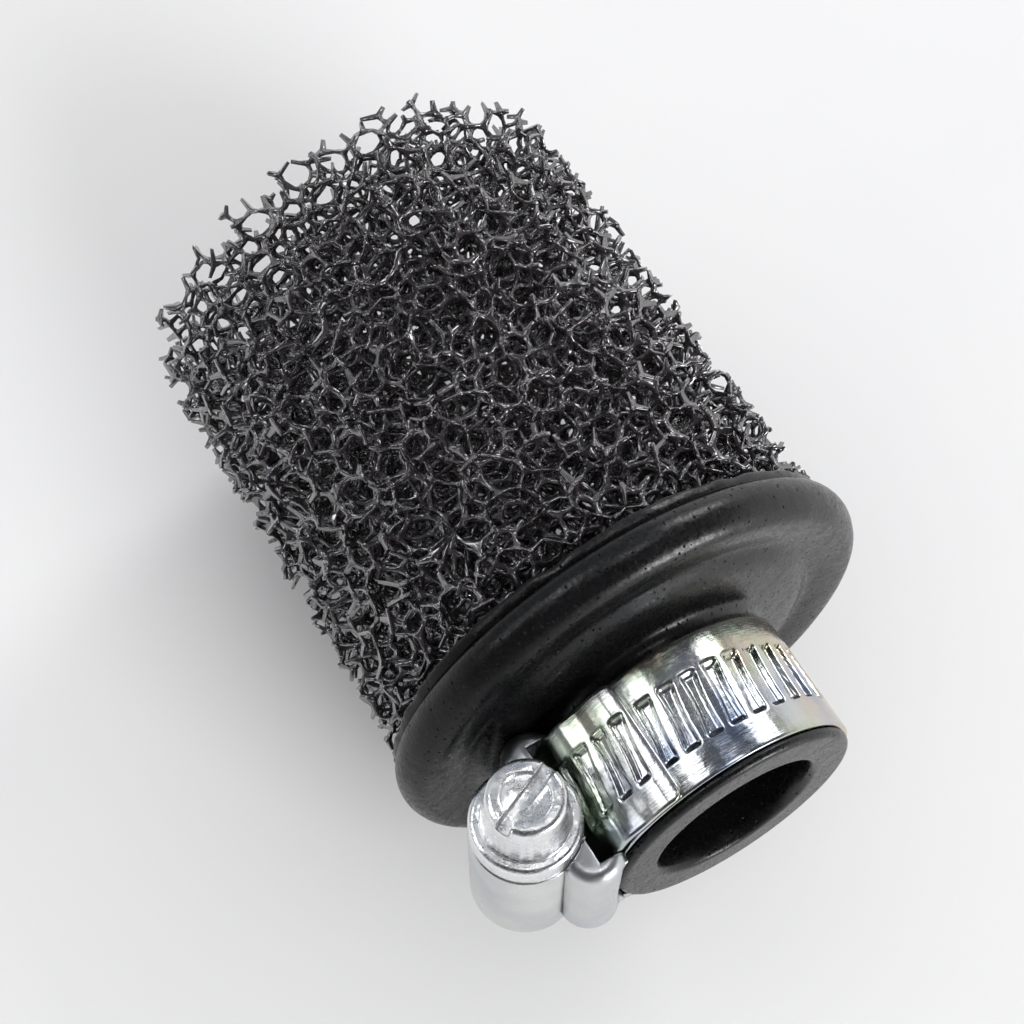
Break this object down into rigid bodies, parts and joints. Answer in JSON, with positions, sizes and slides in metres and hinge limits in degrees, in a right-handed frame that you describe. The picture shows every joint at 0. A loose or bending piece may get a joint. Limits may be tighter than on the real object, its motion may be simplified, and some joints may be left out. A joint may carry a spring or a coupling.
{
  "type": "foam air filter with worm-drive clamp",
  "caption": "Small clamp-on foam air filter: reticulated foam cylinder on a flanged rubber neck held by a worm-drive hose clamp.",
  "frame": {"origin": "centre of the bore at the mouth of the rubber neck", "axes": "+Y along the filter's axis from the neck's mouth to the foam, +Z along the clamp screw towards its head, the screw on the -X side"},
  "size_m": [0.0362, 0.0526, 0.0362],
  "materials": {
    "rubber": "satin, finely pitted moulded black rubber",
    "foam": "glossy black reticulated polyurethane foam",
    "adhesive": "gloss black adhesive",
    "zinc_strip": "bright zinc plate with faint iridescent passivation",
    "zinc_housing": "pale bright zinc plate on pressed sheet",
    "zinc_screw": "zinc plated turned steel with a rougher head"
  },
  "bodies": {
    "filter": {"rubber_base": "rubber", "adhesive_ring": "adhesive", "foam_element": "foam"},
    "clamp": {"clamp_band": "zinc_strip", "clamp_saddle": "zinc_housing", "clamp_housing": "zinc_housing"},
    "screw": {"clamp_screw": "zinc_screw"},
    "tail": {"band_tail": "zinc_strip"}
  },
  "joints": [
    {"name": "clamp_turn", "type": "hinge", "parent": "filter", "child": "clamp", "pos_m": [0, 0.0052, 0], "axis": [0, 1, 0], "continuous": true},
    {"name": "screw_turn", "type": "hinge", "parent": "clamp", "child": "screw", "pos_m": [-0.01324, 0.0052, 0], "axis": [0, 0, -1], "range_deg": [-360, 720]},
    {"name": "tail_draw", "type": "hinge", "parent": "clamp", "child": "tail", "pos_m": [0, 0.0052, 0], "axis": [0, 1, 0], "range_deg": [-9.7, 19.3]}
  ],
  "couplings": [
    {"joint": "tail_draw", "follows": "screw_turn", "ratio": 0.02668}
  ]
}
